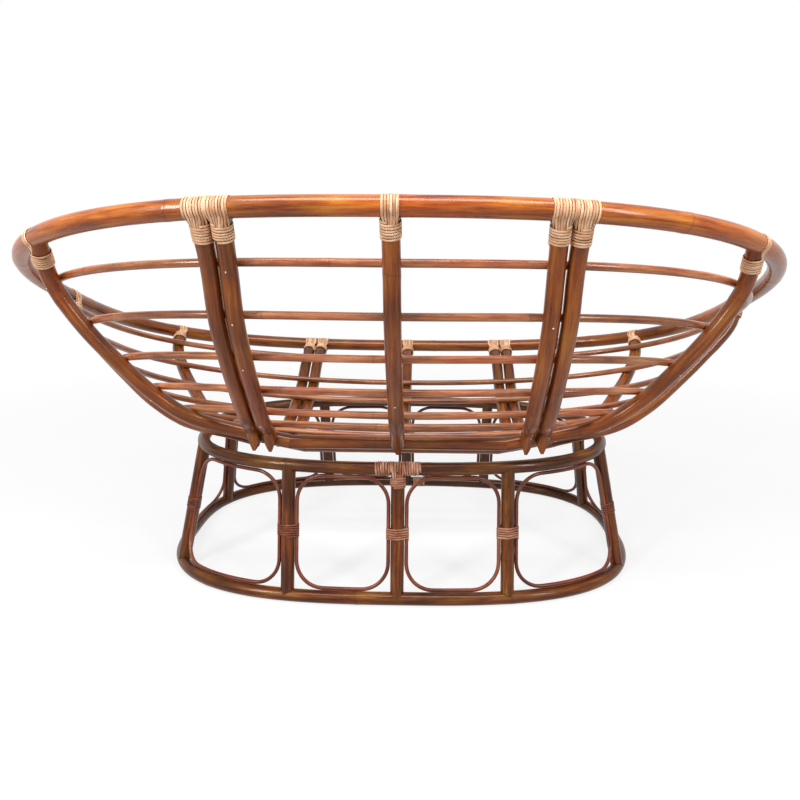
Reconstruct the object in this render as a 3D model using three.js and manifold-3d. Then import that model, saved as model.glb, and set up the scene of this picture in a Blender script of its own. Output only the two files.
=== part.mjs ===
// The rattan frame of a double papasan chair: an oval bowl of ribs and hoops, tilted forward, on an
// oval stand. Millimetres, +Z up. The front faces -Y, and the sitter's left is +X.
// The origin is on the floor, under the middle of the bowl's rim.
import * as THREE from "three";
import { mergeVertices } from "three/addons/utils/BufferGeometryUtils.js";
import Module from "manifold-3d";

const wasm = await Module();
wasm.setup();

// Clearance between pieces that touch, and between points that are one
const fitGap = 0.3;
const mergeDistance = 1e-4;

// Rim of the bowl, an oval that is a little squarer than an ellipse
const rimHalfLength = 807;
const rimHalfWidth = 560;
const rimDiameter = 36;
const bowlOvalPower = 2.68;
const bowlTilt = THREE.MathUtils.degToRad(21.9);

// Poles of the bowl
const ribDiameter = 32;
const hoopDiameter = 16;
const railDiameter = 31;
const railDrop = 352; // below the plane of the rim
const railHalfLength = 240;
const railHalfSpacing = 100;

// The hoops' ovals, as shares of the rim's half length and half width and of the rails' drop
const hoopLengthShares = [0.953, 0.872, 0.789, 0.714, 0.625, 0.477];
const hoopWidthShares = [0.834, 0.736, 0.607, 0.468, 0.361, 0.259];
const hoopDropShares = [0.179, 0.409, 0.591, 0.744, 0.855, 0.912];
const hoopEndLiftShares = [0.062, 0.085, 0.08, 0.08, 0.068, 0.04];

// Where the ribs cross the rim and the hoops
const pairHalfSpacing = 295; // from the middle of the bowl to the middle of a pair of ribs
const pairSpreadAtRim = 39; // between the two ribs of a pair
const pairSpreadBelow = 35.5;
const backCornerShares = [0.812, 0.85, 0.87, 0.88, 0.885, 0.885, 0.88];
const frontCornerShares = [0.842, 0.85, 0.87, 0.88, 0.885, 0.885, 0.88];

// Lower ends of the ribs
const tipHalfSpacing = 106;
const tipDrop = 366;
const endTipOverrun = 55; // past the lowest hoop
const endTipSink = 14; // below its crossing of that hoop
const cornerEndOverlap = 2; // of a corner rib's end on the end of its rail

// Stand
const standSetForward = 44; // of its middle from the middle of the rim
const ringDiameter = 30;
const topRingHalfLength = 504;
const topRingHalfWidth = 282;
const topRingHeight = 301;
const topRingPower = 2.65;
const bottomRingHalfLength = 570;
const bottomRingHalfWidth = 346;
const bottomRingPower = 2.9;
const postDiameter = 31;
const postEndShare = 0.25; // of a ring's diameter, from its middle to the end of a post's saddle
const sidePostAtBottom = 248; // from the middle of the stand
const sidePostAtTop = 246;
const endPostBottomShare = 0.939;
const endPostTopShare = 0.956;
const caneDiameter = 9;
const caneCornerRadius = 60;

// Bindings of split peel
const peelWidth = 5.6;
const peelThickness = 1.4;
const peelPitch = 6.8;
const rimStrandsEach = 5;
const backCornerStrands = 2;
const collarTurns = 3;
const endCollarTurns = 2; // the highest hoop leaves little room there
const collarGap = 1.2; // between a collar and what lies over the rim
const ringTurnsEachSide = 5;
const postTurns = 4.375; // so that the strip comes back up inside the post

// Facets
const ribSides = 8;
const ribSteps = 9;
const hoopSides = 6;
const hoopPartCounts = [3, 2, 1]; // from an end to a corner, on to a pair, on to the middle
const rimSides = 10;
const rimPartCounts = [7, 4, 3];
const ringSides = 10;
const ringSteps = 32;
const caneSides = 5;
const caneCornerSteps = 3;
const caneRunSteps = 2;
const turnSteps = 8;
const strandSteps = 5; // of those, over the rim
const peelTurnSlack = 0.01; // in radians, so that the last step of a strand is taken

// Sampling, to find how the bowl lies on the stand and how close a strip comes to itself
const seatSampling = 2;
const shareSamples = 1440;
const gapSamples = 4;
const gapSkipTurns = 3.2;

const bayNames = [
  "left_back",
  "back_left",
  "back_right",
  "right_back",
  "end_right",
  "right_front",
  "front_right",
  "front_left",
  "left_front",
  "end_left",
];

const up = new THREE.Vector3(0, 0, 1);
const rattan = (color, roughness) => new THREE.MeshStandardMaterial({ color, roughness, metalness: 0 });
const finishes = {
  rim: rattan(0x9c4a1c, 0.3),
  rib: rattan(0x8f4722, 0.32),
  hoop: rattan(0x98553a, 0.36),
  stand: rattan(0x5f3018, 0.34),
  cane: rattan(0x4f2a18, 0.4),
  peel: rattan(0xc9925c, 0.6),
};

// Solids for joining and cutting
function solidOf(geometry) {
  const bare = geometry.clone();
  for (const name of Object.keys(bare.attributes)) if (name !== "position") bare.deleteAttribute(name);
  const merged = mergeVertices(bare, mergeDistance);
  return new wasm.Manifold(
    new wasm.Mesh({
      numProp: 3,
      vertProperties: new Float32Array(merged.attributes.position.array),
      triVerts: new Uint32Array(merged.index.array),
    }),
  );
}

function geometryOf(solid) {
  const { vertProperties, triVerts } = solid.getMesh();
  const geometry = new THREE.BufferGeometry();
  geometry.setAttribute("position", new THREE.BufferAttribute(new Float32Array(vertProperties), 3));
  geometry.setIndex(new THREE.BufferAttribute(new Uint32Array(triVerts), 1));
  return geometry;
}

function cutBy(geometry, cutters) {
  return geometryOf(cutters.reduce((solid, cutter) => solid.subtract(solidOf(cutter)), solidOf(geometry)));
}

// An oval of any squareness, level or with its two ends lifted
class OvalCurve extends THREE.Curve {
  constructor(halfLength, halfWidth, power, height, endLift = 0) {
    super();
    Object.assign(this, { halfLength, halfWidth, power, height, endLift });
  }
  at(x, y) {
    return new THREE.Vector3(x, y, this.height + this.endLift * (x / this.halfLength) ** 2);
  }
  getPoint(t, target = new THREE.Vector3()) {
    const stretch = (value) => Math.sign(value) * Math.abs(value) ** (2 / this.power);
    const [x, y] = [Math.cos(2 * Math.PI * t), Math.sin(2 * Math.PI * t)].map(stretch);
    return target.copy(this.at(x * this.halfLength, y * this.halfWidth));
  }
  // The point of the oval at x, on its back (side 1), on its front (side -1) or at its end (side 0)
  atX(x, side) {
    const rest = 1 - (Math.abs(x) / this.halfLength) ** this.power;
    return this.at(x, side * this.halfWidth * Math.max(rest, 0) ** (1 / this.power));
  }
}

// A closed pole through points, with a flat side of its section turned away from the references
function closedPole(points, references, diameter, sides) {
  const positions = [];
  const faces = [];
  points.forEach((point, i) => {
    const ahead = points[(i + 1) % points.length];
    const behind = points[(i + points.length - 1) % points.length];
    const along = new THREE.Vector3().subVectors(ahead, behind).normalize();
    const across = new THREE.Vector3().crossVectors(along, references[i]).normalize();
    const away = new THREE.Vector3().crossVectors(across, along);
    for (let side = 0; side < sides; side++) {
      const angle = (2 * Math.PI * (side + 0.5)) / sides - Math.PI / 2;
      const corner = point.clone().addScaledVector(across, (Math.cos(angle) * diameter) / 2);
      positions.push(...corner.addScaledVector(away, (Math.sin(angle) * diameter) / 2).toArray());
      const [a, b] = [i * sides + side, i * sides + ((side + 1) % sides)];
      const [c, d] = [a, b].map((corner) => (corner + sides) % (points.length * sides));
      faces.push(a, c, b, b, c, d);
    }
  });
  return facedOut(positions, faces);
}

// A mesh of corners and faces, its faces turned outwards
function facedOut(positions, faces) {
  let volume = 0;
  const corner = (i) => new THREE.Vector3().fromArray(positions, 3 * faces[i]);
  for (let i = 0; i < faces.length; i += 3) volume += corner(i).dot(corner(i + 1).cross(corner(i + 2)));
  if (volume < 0) faces.reverse();
  const geometry = new THREE.BufferGeometry();
  geometry.setAttribute("position", new THREE.Float32BufferAttribute(positions, 3));
  geometry.setIndex(faces);
  return geometry;
}

function ovalPoints(oval, steps) {
  return oval.getSpacedPoints(steps).slice(0, steps);
}

// A bent pole with square ends
function bentPole(curve, diameter, sides, steps) {
  const section = new THREE.Shape();
  for (let side = 0; side < sides; side++) {
    const angle = (2 * Math.PI * (side + 0.5)) / sides;
    const [x, y] = [Math.cos(angle), Math.sin(angle)].map((share) => (share * diameter) / 2);
    if (side === 0) section.moveTo(x, y);
    else section.lineTo(x, y);
  }
  section.closePath();
  return new THREE.ExtrudeGeometry(section, { steps, bevelEnabled: false, extrudePath: curve });
}

function straightPole(from, to, diameter, sides) {
  return bentPole(new THREE.LineCurve3(from, to), diameter, sides, 1);
}

// From the middle of a faceted pole to the middle of one of its flat sides
function flatReach(diameter, sides) {
  return (diameter / 2) * Math.cos(Math.PI / sides);
}

// Rim and hoops
const rimOval = new OvalCurve(rimHalfLength, rimHalfWidth, bowlOvalPower, 0);
const hoopOvals = hoopLengthShares.map(
  (lengthShare, i) =>
    new OvalCurve(
      lengthShare * rimHalfLength,
      hoopWidthShares[i] * rimHalfWidth,
      bowlOvalPower,
      -hoopDropShares[i] * railDrop,
      hoopEndLiftShares[i] * railDrop,
    ),
);
const bowlOvals = [rimOval, ...hoopOvals];

// Points round one of the bowl's ovals, with a point at each place where ribs cross it
function bowlOvalPoints(level, partCounts) {
  const oval = bowlOvals[level];
  const quarter = (sign, side) => {
    const cornerShare = (side > 0 ? backCornerShares : frontCornerShares)[level];
    const stopShares = [1, cornerShare, pairHalfSpacing / oval.halfLength, 0];
    const stops = stopShares.map((share) => Math.acos(share ** (oval.power / 2)));
    const points = [];
    partCounts.forEach((parts, i) => {
      for (let part = 0; part < parts; part++) {
        const angle = THREE.MathUtils.lerp(stops[i], stops[i + 1], part / parts);
        points.push(oval.atX(sign * oval.halfLength * Math.cos(angle) ** (2 / oval.power), side));
      }
    });
    return [...points, oval.atX(0, side)];
  };
  const backwards = (sign, side) => quarter(sign, side).reverse().slice(1);
  const round = [...quarter(1, 1), ...backwards(-1, 1), ...quarter(-1, -1).slice(1), ...backwards(1, -1)];
  return round.slice(0, -1);
}

const flatPole = (points, diameter, sides) => closedPole(points, points.map(() => up), diameter, sides);
const rimPoints = bowlOvalPoints(0, rimPartCounts);
const hoopPoints = hoopOvals.map((oval, i) => bowlOvalPoints(i + 1, hoopPartCounts));

const linesOf = (points) => points.map((start, i) => new THREE.Line3(start, points[(i + 1) % points.length]));
const rimLines = linesOf(rimPoints);

// The place on a closed row of lines that is nearest to a point, and how far along the row it is
function nearestOn(lines, target) {
  let best = { distance: Infinity };
  let walked = 0;
  for (const line of lines) {
    const point = line.closestPointToPoint(target, true, new THREE.Vector3());
    const distance = point.distanceTo(target);
    if (distance < best.distance) best = { distance, point, length: walked + point.distanceTo(line.start) };
    walked += line.distance();
  }
  return best;
}

// The place at a length along the rim, and the rim's direction there
function rimAt(length) {
  const whole = rimLines.reduce((sum, line) => sum + line.distance(), 0);
  const tangentAt = (i) => {
    const [ahead, behind] = [i + 1, i + rimPoints.length - 1].map((k) => rimPoints[k % rimPoints.length]);
    return new THREE.Vector3().subVectors(ahead, behind).normalize();
  };
  let left = (length + whole) % whole;
  for (const [i, line] of rimLines.entries()) {
    if (left < line.distance()) {
      const part = left / line.distance();
      const along = tangentAt(i).lerp(tangentAt((i + 1) % rimPoints.length), part).normalize();
      return { point: line.at(part, new THREE.Vector3()), along };
    }
    left -= line.distance();
  }
}

// The middle line of a rib: from the middle of the rim, past the outside of each hoop, to its lower end
function ribCurve(xAt, side, lowerEnd) {
  const crossings = bowlOvals.map((oval, level) => oval.atX(xAt(level), side));
  const standOff = flatReach(ribDiameter, ribSides) + hoopDiameter / 2 + fitGap;
  const points = crossings.map((crossing, level) => {
    if (level === 0) return nearestOn(rimLines, crossing).point;
    const down = (crossings[level + 1] ?? lowerEnd).clone().sub(crossings[level - 1]);
    const towardsMiddle = Math.sign(xAt(level) || 1) * hoopDiameter;
    const beside = bowlOvals[level].atX(xAt(level) - towardsMiddle, side).sub(crossing);
    const along = side === 0 ? new THREE.Vector3(0, 1, 0) : beside;
    const outward = along.cross(down).normalize();
    if (outward.z > 0) outward.negate();
    return crossing.clone().addScaledVector(outward, standOff);
  });
  return new THREE.CatmullRomCurve3([...points, lowerEnd], false, "centripetal");
}

const ribs = [];
const addRib = (place, binding, curve, corner) => ribs.push({ name: `rib_${place}`, binding, curve, corner });
for (const [hand, sign] of [["left", 1], ["right", -1]]) {
  for (const [face, side] of [["back", 1], ["front", -1]]) {
    const cornerShares = side > 0 ? backCornerShares : frontCornerShares;
    const cornerX = (level) => sign * cornerShares[level] * bowlOvals[level].halfLength;
    const cornerEndX = sign * (railHalfLength - cornerEndOverlap);
    const cornerEnd = new THREE.Vector3(cornerEndX, side * railHalfSpacing, -railDrop);
    const corner = ribCurve(cornerX, side, cornerEnd);
    addRib(`${face}_${hand}_corner`, `${face}_${hand}_corner`, corner);
    for (const [place, step] of [["inner", -1], ["outer", 1]]) {
      const spread = (level) => (level === 0 ? pairSpreadAtRim : pairSpreadBelow);
      const pairX = (level) => sign * (pairHalfSpacing + (step * spread(level)) / 2);
      const tip = new THREE.Vector3(pairX(1), side * tipHalfSpacing, -tipDrop);
      addRib(`${face}_${hand}_${place}`, `${face}_${hand}_pair`, ribCurve(pairX, side, tip), corner);
    }
  }
  const lowest = hoopOvals.at(-1);
  const endDrop = lowest.height + lowest.endLift - (ribDiameter + hoopDiameter) / 2 - endTipSink;
  const endTip = new THREE.Vector3(sign * (lowest.halfLength - endTipOverrun), 0, endDrop);
  addRib(`end_${hand}`, `end_${hand}`, ribCurve((level) => sign * bowlOvals[level].halfLength, 0, endTip));
}
for (const [face, side] of [["back", 1], ["front", -1]]) {
  const tip = new THREE.Vector3(0, side * tipHalfSpacing, -tipDrop);
  addRib(`${face}_centre`, `${face}_centre`, ribCurve(() => 0, side, tip));
}

// Split peel: one strip, flat underneath and ridged on top, laid along a route of points and their
// outward directions
function peelStrip(name, route) {
  const rings = route.map(({ point, outward }, i) => {
    const ahead = route[Math.min(i + 1, route.length - 1)].point;
    const along = ahead.clone().sub(route[Math.max(i - 1, 0)].point).normalize();
    const across = new THREE.Vector3().crossVectors(along, outward).normalize();
    const away = new THREE.Vector3().crossVectors(across, along);
    const base = point.clone().addScaledVector(away, -peelThickness / 2);
    return [
      base.clone().addScaledVector(across, -peelWidth / 2),
      base.clone().addScaledVector(across, peelWidth / 2),
      point.clone().addScaledVector(away, peelThickness / 2),
    ];
  });
  console.log(`${name}: least gap of the strip to itself ${leastGap(rings).toFixed(2)} mm`);
  const faces = [0, 1, 2];
  const last = 3 * (rings.length - 1);
  faces.push(last, last + 2, last + 1);
  for (let start = 0; start < last; start += 3) {
    for (const [a, b] of [[0, 1], [1, 2], [2, 0]]) {
      faces.push(start + a, start + 3 + a, start + b, start + b, start + 3 + a, start + 3 + b);
    }
  }
  return facedOut(rings.flat().flatMap((corner) => corner.toArray()), faces);
}

// The least distance between stretches of a strip that lie several turns' pitches apart along it
function leastGap(rings) {
  const samples = [];
  let walked = 0;
  for (let i = 0; i + 1 < rings.length; i++) {
    const length = rings[i][2].distanceTo(rings[i + 1][2]);
    for (let part = 0; part < gapSamples; part++) {
      const corners = rings[i].map((corner, k) => corner.clone().lerp(rings[i + 1][k], part / gapSamples));
      samples.push({ corners, walked: walked + (length * part) / gapSamples });
    }
    walked += length;
  }
  let least = Infinity;
  samples.forEach((one, i) => {
    for (const other of samples.slice(i + 1)) {
      if (other.walked - one.walked < gapSkipTurns * peelPitch) continue;
      for (const a of one.corners) for (const b of other.corners) least = Math.min(least, a.distanceTo(b));
    }
  });
  return least;
}

// Turns round a pole: its axis runs from origin along down, and the turns start at an angle from out
function polePoints({ origin, down, out, poleDiameter, turns, startAngle, sense, start, pitch }) {
  const beside = new THREE.Vector3().crossVectors(down, out);
  const radius = (poleDiameter / 2 + 2 * fitGap + peelThickness / 2) / Math.cos(Math.PI / turnSteps);
  const route = [];
  for (let step = 0; step <= turns * turnSteps; step++) {
    const angle = startAngle + (sense * 2 * Math.PI * step) / turnSteps;
    const outward = out.clone().multiplyScalar(Math.cos(angle)).addScaledVector(beside, Math.sin(angle));
    const middle = origin.clone().addScaledVector(down, start + (pitch * step) / turnSteps);
    route.push({ point: middle.addScaledVector(outward, radius), outward });
  }
  return route;
}

// A binding at the top of a rib or of a pair: strands over the rim to and fro, then turns round the rib.
// On a pair the same strip starts with the turns round the first rib.
function rimBinding(name, group, strandsEach, turns) {
  const facingOf = (strand) => (strand % 2 ? 1 : -1); // the side of the rim on which a strand ends
  const tops = group
    .map(({ curve }) => {
      const [start, next] = curve.getSpacedPoints(ribSteps);
      return { start, down: next.clone().sub(start).normalize(), length: nearestOn(rimLines, start).length };
    })
    .sort((a, b) => a.length - b.length);
  const radius = (rimDiameter / 2 + fitGap + peelThickness / 2) / Math.cos(Math.PI / turnSteps);
  const lastAngle = (strandSteps * Math.PI) / turnSteps;
  const [endOut, endDrop] = [radius * Math.sin(lastAngle), -radius * Math.cos(lastAngle)];
  const axesAt = (top, offset) => {
    const { point, along } = rimAt(top.length + offset);
    const down = top.down.clone().projectOnPlane(along).normalize();
    return { point, down, out: along.clone().cross(down) };
  };
  const strands = tops.flatMap((top) =>
    Array.from({ length: strandsEach }, (_, k) => ({ top, offset: (k - (strandsEach - 1) / 2) * peelPitch })),
  );
  const route = [];
  strands.forEach(({ top, offset }, k) => {
    const facing = facingOf(k);
    const { point, down, out } = axesAt(top, offset);
    for (let angle = -lastAngle; angle < lastAngle + peelTurnSlack; angle += (2 * Math.PI) / turnSteps) {
      const outward = down.clone().multiplyScalar(-Math.cos(angle));
      outward.addScaledVector(out, facing * Math.sin(angle));
      route.push({ point: point.clone().addScaledVector(outward, radius), outward });
    }
    const next = strands[k + 1];
    if (!next) return;
    const gapToNext = next.top.length + next.offset - top.length - offset;
    const turn = axesAt(top, offset + gapToNext / 2);
    const outward = turn.out.multiplyScalar(facing);
    const middle = turn.point.addScaledVector(turn.down, endDrop + peelWidth);
    route.push({ point: middle.addScaledVector(outward, endOut - peelThickness), outward });
  });
  const collar = ({ top, offset }, facing) => {
    const { along } = rimAt(top.length);
    const out = along.clone().cross(top.down).normalize();
    const lean = along.angleTo(top.down);
    const belowRim = rimDiameter / 2 + peelThickness + peelWidth / 2 + collarGap;
    const collarRadius = ribDiameter / 2 + peelThickness + collarGap;
    return polePoints({
      origin: top.start,
      down: top.down,
      out,
      poleDiameter: ribDiameter,
      turns,
      startAngle: Math.atan2(offset, facing * endOut),
      sense: Math.sign(offset * facing) || 1,
      start: (belowRim + collarRadius * Math.abs(Math.cos(lean))) / Math.sin(lean),
      pitch: peelPitch,
    });
  };
  const before = tops.length > 1 ? collar(strands[0], -facingOf(0)).reverse() : [];
  const after = collar(strands.at(-1), facingOf(strands.length - 1));
  return peelStrip(name, [...before, ...route, ...after]);
}

// Stand: two rings, posts between them and a cane loop in each bay
const bottomRing = new OvalCurve(bottomRingHalfLength, bottomRingHalfWidth, bottomRingPower, 0);
bottomRing.height = flatReach(ringDiameter, ringSides);
const topRing = new OvalCurve(topRingHalfLength, topRingHalfWidth, topRingPower, topRingHeight);
const topRingPoints = ovalPoints(topRing, ringSteps);
const bottomRingPoints = ovalPoints(bottomRing, ringSteps);
const grown = (diameter) => diameter + 2 * fitGap;

const posts = [];
function addPost(place, sign, side, atBottom, atTop) {
  const bottom = nearestOn(linesOf(bottomRingPoints), bottomRing.atX(sign * atBottom, side)).point;
  const top = nearestOn(linesOf(topRingPoints), topRing.atX(sign * atTop, side)).point;
  posts.push({ name: `post_${place}`, bottom, top });
}
const endPost = [endPostBottomShare * bottomRingHalfLength, endPostTopShare * topRingHalfLength];
addPost("end_left_back", 1, 1, ...endPost);
addPost("back_left", 1, 1, sidePostAtBottom, sidePostAtTop);
addPost("back_centre", 0, 1, 0, 0);
addPost("back_right", -1, 1, sidePostAtBottom, sidePostAtTop);
addPost("end_right_back", -1, 1, ...endPost);
addPost("end_right_front", -1, -1, ...endPost);
addPost("front_right", -1, -1, sidePostAtBottom, sidePostAtTop);
addPost("front_centre", 0, -1, 0, 0);
addPost("front_left", 1, -1, sidePostAtBottom, sidePostAtTop);
addPost("end_left_front", 1, -1, ...endPost);

// How far round an oval a point lies, from 0 to 1
function shareOf(oval, target) {
  const samples = oval.getSpacedPoints(shareSamples);
  const distances = samples.map((sample) => sample.distanceTo(target));
  return distances.indexOf(Math.min(...distances)) / shareSamples;
}

// A loop of cane that fills the bay between two posts: it follows the rings and has round corners
function caneLoop(from, to) {
  const spans = [[bottomRing, "bottom"], [topRing, "top"]].map(([oval, end]) => {
    const start = shareOf(oval, from[end]);
    const span = (shareOf(oval, to[end]) - start + 1) % 1;
    return { oval, start, span, width: span * oval.getLength() };
  });
  const at = (across, rise) => {
    const [low, high] = spans.map(({ oval, start, span }) => oval.getPointAt((start + across * span) % 1));
    return low.lerp(high, rise);
  };
  const height = at(0.5, 0).distanceTo(at(0.5, 1));
  const widthAt = (rise) => THREE.MathUtils.lerp(spans[0].width, spans[1].width, rise);
  const besidePost = (postDiameter + caneDiameter) / 2 + fitGap;
  const besideRing = (ringDiameter + caneDiameter) / 2 + fitGap;
  const corners = [];
  for (const [toRight, toTop, firstAngle] of [[1, 1, 0], [-1, 1, 1], [-1, -1, 2], [1, -1, 3]]) {
    for (let step = 0; step <= caneCornerSteps; step++) {
      corners.push({ toRight, toTop, angle: ((firstAngle + step / caneCornerSteps) * Math.PI) / 2 });
    }
  }
  const onBay = ({ toRight, toTop, angle }) => {
    const upDown = toTop * (height / 2 - besideRing - caneCornerRadius) + caneCornerRadius * Math.sin(angle);
    const rise = 0.5 + upDown / height;
    const width = widthAt(rise);
    const straight = width / 2 - besidePost - caneCornerRadius;
    return [0.5 + (toRight * straight + caneCornerRadius * Math.cos(angle)) / width, rise];
  };
  const places = corners.map(onBay);
  const stepped = places.flatMap((place, i) => {
    const next = places[(i + 1) % places.length];
    const [across, rise] = next.map((value, axis) => Math.abs(value - place[axis]));
    const onRun = i % (caneCornerSteps + 1) === caneCornerSteps && across > rise;
    const parts = onRun ? caneRunSteps : 1;
    const between = (k) => place.map((value, axis) => THREE.MathUtils.lerp(value, next[axis], k / parts));
    return Array.from({ length: parts }, (_, k) => between(k));
  });
  const points = stepped.map(([across, rise]) => at(across, rise));
  const outwards = stepped.map(([across, rise]) => {
    const beside = caneDiameter / widthAt(rise);
    return at(across + beside, rise).sub(at(across - beside, rise)).cross(up).normalize();
  });
  return closedPole(points, outwards, caneDiameter, caneSides);
}

// The binding where the middle post meets the top ring at the back: turns on one side of the post, then down
// round the post, back up inside it, and turns on the other side
function middleBinding(post) {
  const back = new THREE.Vector3(0, 1, 0);
  const left = new THREE.Vector3(1, 0, 0);
  const right = left.clone().negate();
  const down = post.bottom.clone().sub(post.top).normalize();
  const besidePost = postDiameter / 2 + fitGap + peelWidth / 2 + fitGap;
  const underRing = ringDiameter / 2 + fitGap + peelWidth / 2 + fitGap;
  const ringTurns = {
    down: right,
    out: back,
    poleDiameter: ringDiameter,
    turns: ringTurnsEachSide,
    sense: 1,
    pitch: peelPitch,
  };
  const first = polePoints({
    ...ringTurns,
    origin: post.top.clone().addScaledVector(left, besidePost + ringTurnsEachSide * peelPitch),
    startAngle: 0,
    start: 0,
  });
  const round = polePoints({
    origin: post.top,
    down,
    out: back.clone().projectOnPlane(down).normalize(),
    poleDiameter: postDiameter,
    turns: postTurns,
    startAngle: 0,
    sense: -1,
    start: underRing,
    pitch: peelPitch,
  });
  const last = polePoints({ ...ringTurns, origin: post.top, startAngle: Math.PI, start: besidePost });
  const { point: lowest, outward } = round.at(-1);
  const onwards = lowest.clone().sub(round.at(-2).point).setLength(peelWidth);
  const turning = lowest.clone().add(onwards).addScaledVector(outward, peelThickness + 2 * fitGap);
  const besideRing = last[0].point.clone().addScaledVector(up, -underRing);
  return peelStrip("binding_stand_back", [
    ...first,
    ...round,
    { point: turning, outward },
    { point: besideRing, outward: last[0].outward },
    ...last,
  ]);
}

// The bowl comes down on the stand until the first rib touches the top ring
function seatHeight() {
  const turned = new THREE.Matrix4().makeRotationX(bowlTilt);
  const reach = flatReach(ribDiameter, ribSides) + ringDiameter / 2 + fitGap;
  const ringSamples = sampled([...topRingPoints, topRingPoints[0]]);
  let seat = -Infinity;
  for (const { curve } of ribs) {
    for (const rib of sampled(curve.getSpacedPoints(ribSteps).map((point) => point.applyMatrix4(turned)))) {
      for (const ring of ringSamples) {
        const apart = Math.hypot(rib.x - ring.x, rib.y - ring.y + standSetForward);
        if (apart < reach) seat = Math.max(seat, ring.z + Math.sqrt(reach ** 2 - apart ** 2) - rib.z);
      }
    }
  }
  return seat;
}

function sampled(points) {
  return points.slice(1).flatMap((end, i) => {
    const parts = Math.ceil(end.distanceTo(points[i]) / seatSampling);
    return Array.from({ length: parts }, (_, k) => points[i].clone().lerp(end, k / parts));
  });
}

// The chair
const chair = new THREE.Group();
const bowl = new THREE.Group();
const stand = new THREE.Group();
const seat = seatHeight();
console.log(`middle of the rim ${seat.toFixed(1)} mm above the floor`);
bowl.position.set(0, 0, seat);
bowl.rotation.x = bowlTilt;
stand.position.set(0, -standSetForward, 0);
chair.add(bowl, stand);

function addPiece(group, name, geometry, finish) {
  const piece = new THREE.Mesh(geometry, finish);
  piece.name = name;
  group.add(piece);
}

// Bowl
addPiece(bowl, "rim", flatPole(rimPoints, rimDiameter, rimSides), finishes.rim);
hoopPoints.forEach((points, i) => {
  addPiece(bowl, `hoop_${i + 1}`, flatPole(points, hoopDiameter, hoopSides), finishes.hoop);
});
const rail = (side, reach, diameter) => {
  const end = (x) => new THREE.Vector3(x, side * railHalfSpacing, -railDrop);
  return straightPole(end(-reach), end(reach), diameter, ribSides);
};
for (const [face, side] of [["back", 1], ["front", -1]]) {
  addPiece(bowl, `rail_${face}`, rail(side, railHalfLength, railDiameter), finishes.rib);
}
const bowlCutters = [
  flatPole(rimPoints, grown(rimDiameter), rimSides),
  ...hoopPoints.map((points) => flatPole(points, grown(hoopDiameter), hoopSides)),
  ...[1, -1].map((side) => rail(side, railHalfLength + fitGap, grown(railDiameter))),
];
for (const { name, curve, corner } of ribs) {
  const cornerCutters = corner ? [bentPole(corner, grown(ribDiameter), ribSides, ribSteps)] : [];
  const rib = cutBy(bentPole(curve, ribDiameter, ribSides, ribSteps), [...bowlCutters, ...cornerCutters]);
  addPiece(bowl, name, rib, finishes.rib);
}
for (const binding of new Set(ribs.map((rib) => rib.binding))) {
  const group = ribs.filter((rib) => rib.binding === binding);
  const strandsEach = /back_.*_corner/.test(binding) ? backCornerStrands : rimStrandsEach;
  const turns = group[0].curve.getPoint(1).y === 0 ? endCollarTurns : collarTurns;
  const name = `binding_${binding}`;
  addPiece(bowl, name, rimBinding(name, group, strandsEach, turns), finishes.peel);
}

// Stand
addPiece(stand, "ring_bottom", flatPole(bottomRingPoints, ringDiameter, ringSides), finishes.stand);
addPiece(stand, "ring_top", flatPole(topRingPoints, ringDiameter, ringSides), finishes.stand);
const ringCutters = [bottomRingPoints, topRingPoints].map((points) =>
  flatPole(points, grown(ringDiameter), ringSides),
);
for (const { name, bottom, top } of posts) {
  const inset = top.clone().sub(bottom).setLength(postEndShare * ringDiameter);
  const post = straightPole(bottom.clone().add(inset), top.clone().sub(inset), postDiameter, ribSides);
  addPiece(stand, name, cutBy(post, ringCutters), finishes.stand);
}
posts.forEach((post, i) => {
  const next = posts[(i + 1) % posts.length];
  const name = `cane_loop_${bayNames[i]}`;
  addPiece(stand, name, caneLoop(post, next), finishes.cane);
});
const middlePost = posts.find(({ name }) => name === "post_back_centre");
addPiece(stand, "binding_stand_back", middleBinding(middlePost), finishes.peel);

export default chair;
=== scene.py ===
# The rattan frame of a double papasan chair: an oval bowl of bent poles that rests on an oval stand.
# Metres, +Z up. The front faces -Y, and the sitter's left is +X. The view is from behind.
import math
import random
from bisect import bisect_right
from functools import partial

import bmesh
import bpy
from mathutils import Matrix, Vector


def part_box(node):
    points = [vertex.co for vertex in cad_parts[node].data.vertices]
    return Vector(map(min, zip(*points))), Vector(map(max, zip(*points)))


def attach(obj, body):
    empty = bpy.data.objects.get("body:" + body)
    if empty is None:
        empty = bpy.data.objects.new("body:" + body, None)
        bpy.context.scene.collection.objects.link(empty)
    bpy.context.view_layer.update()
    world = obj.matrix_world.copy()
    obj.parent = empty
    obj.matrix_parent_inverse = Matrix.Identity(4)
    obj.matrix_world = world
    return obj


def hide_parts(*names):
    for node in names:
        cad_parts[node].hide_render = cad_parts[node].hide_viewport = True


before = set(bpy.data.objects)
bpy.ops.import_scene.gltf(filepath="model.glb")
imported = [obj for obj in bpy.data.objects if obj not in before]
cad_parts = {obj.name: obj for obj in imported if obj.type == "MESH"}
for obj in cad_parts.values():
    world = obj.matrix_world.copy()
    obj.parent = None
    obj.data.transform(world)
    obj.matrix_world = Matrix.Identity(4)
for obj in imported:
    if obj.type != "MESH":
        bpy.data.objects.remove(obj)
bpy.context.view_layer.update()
scene = bpy.context.scene
print("frame loaded:", len(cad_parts), "solids")

photoView = {
    "place": Vector((-0.0605, 1.6185, 0.8347)),
    "yaw": 0.012,
    "pitch": 0.269,
    "roll": -0.008,
    "lens": 29.87,
    "sensorWidth": 36,
    "shift": (-0.0229, 0.0029),
    "clipStart": 0.05,
}


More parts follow.
